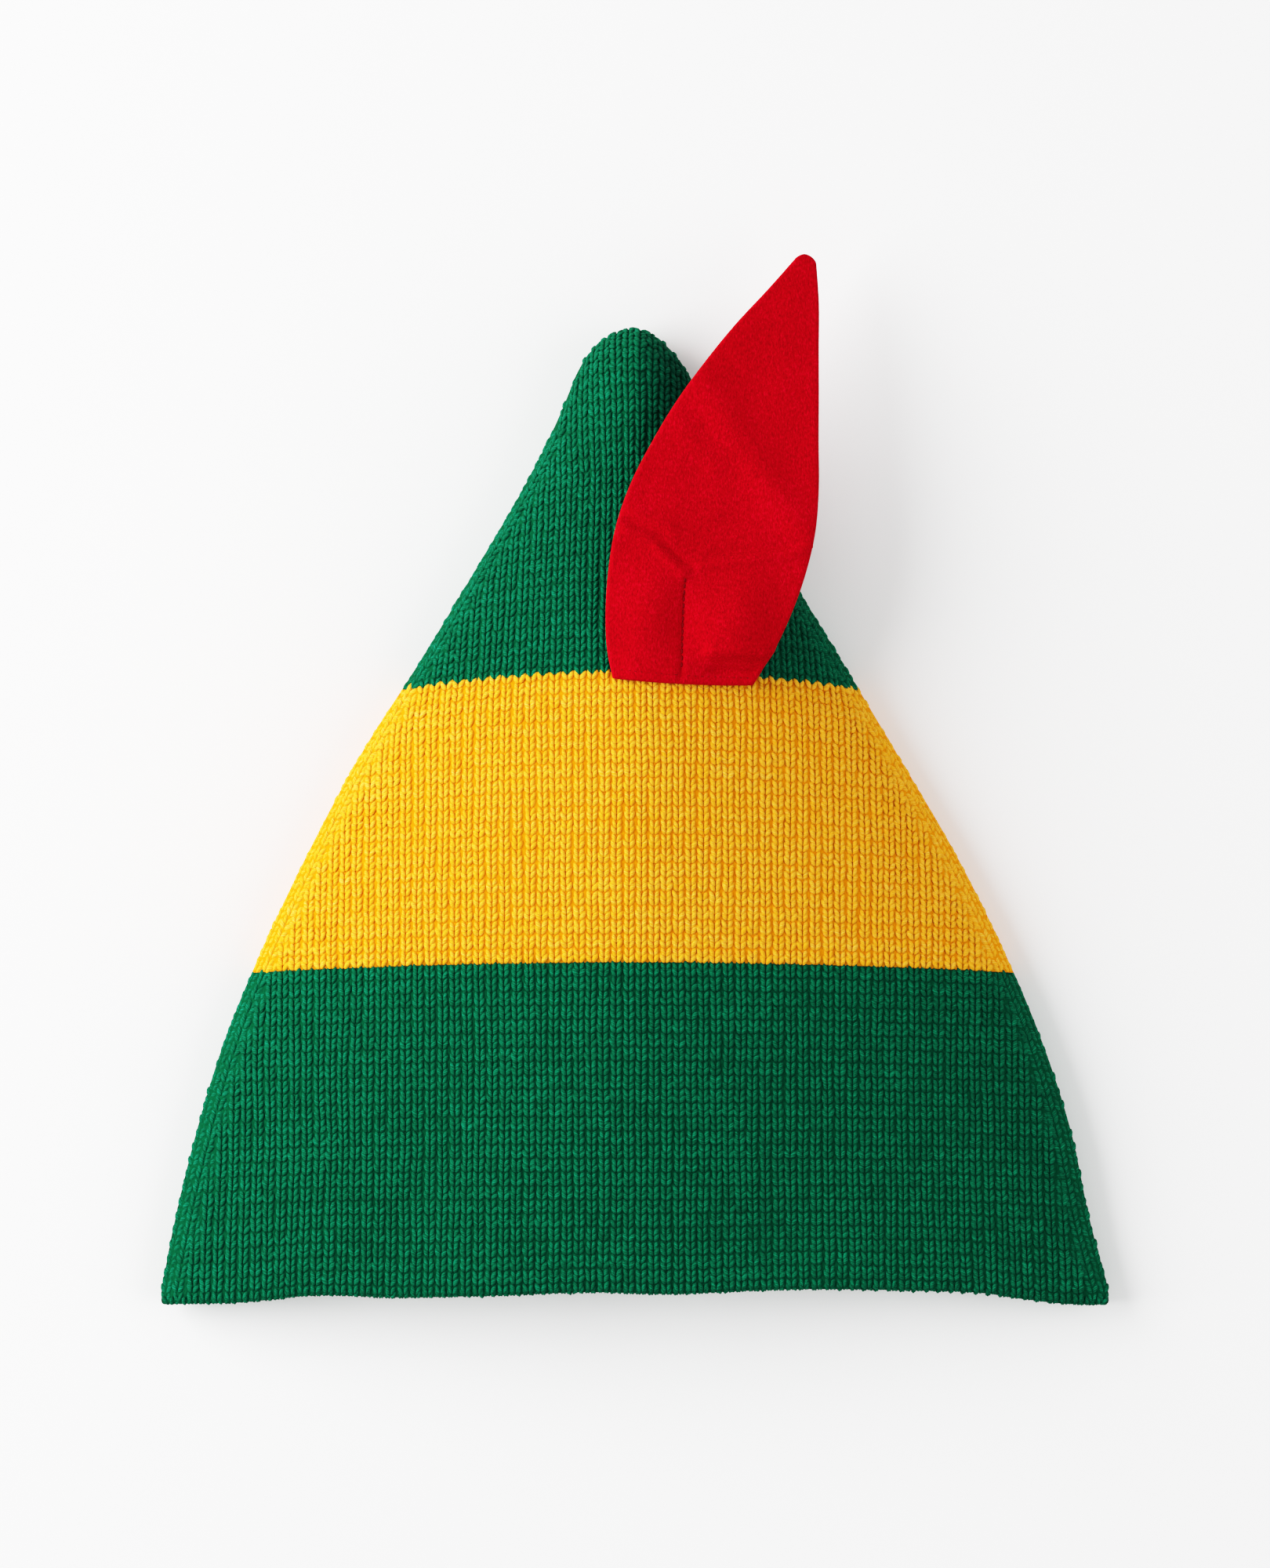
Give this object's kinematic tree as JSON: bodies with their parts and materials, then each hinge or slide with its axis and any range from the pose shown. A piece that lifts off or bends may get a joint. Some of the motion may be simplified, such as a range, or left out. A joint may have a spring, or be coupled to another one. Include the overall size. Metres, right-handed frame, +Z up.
{
  "type": "knitted elf hat with a felt feather, lying flat",
  "caption": "Knitted pointed hat with a wide yellow stripe between green bands and a red felt feather sewn to its front, lying on its back with an open mouth.",
  "frame": {"origin": "on the surface that the hat lies on, under the middle of the whole hat's box", "axes": "+X across the mouth to the right of the face with the feather, +Y from the mouth towards the tip, +Z up from the surface through the face with the feather"},
  "size_m": [0.25, 0.2752, 0.0461],
  "materials": {
    "green_knit": "matt stocking stitch in plied acrylic yarn, bottle green",
    "yellow_knit": "matt stocking stitch in plied acrylic yarn, golden yellow",
    "red_felt": "matt pressed felt, scarlet, with fine loose fibres"
  },
  "bodies": {
    "root": {"lower_band": "green_knit", "middle_band": "yellow_knit", "crown": "green_knit", "feather": "red_felt"}
  },
  "joints": []
}
